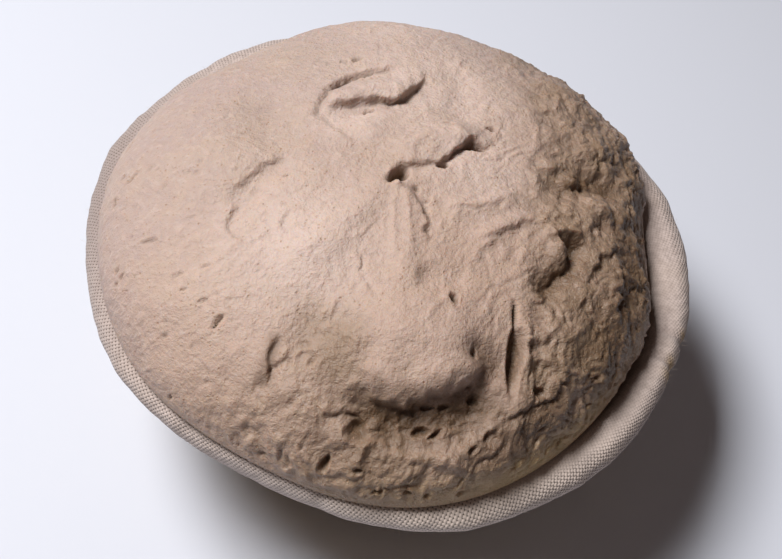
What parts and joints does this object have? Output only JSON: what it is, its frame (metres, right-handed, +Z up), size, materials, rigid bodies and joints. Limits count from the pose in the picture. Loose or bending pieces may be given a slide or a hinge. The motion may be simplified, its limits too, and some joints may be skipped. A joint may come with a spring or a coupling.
{
  "type": "proofed sourdough dough in a lined basket",
  "caption": "Round of proofed sourdough dough, domed and torn on top, in a coiled cane basket with a linen liner.",
  "frame": {"origin": "middle of the basket's underside", "axes": "+Z up; -Y towards the side the picture is taken from; +X to its right"},
  "size_m": [0.2301, 0.2299, 0.1343],
  "materials": {
    "dough": "soft satin skin with fine bran",
    "linen": "plain woven linen",
    "cane": "bare cane"
  },
  "bodies": {
    "root": {"dough": "dough", "liner": "linen", "basket": "cane"}
  },
  "joints": []
}
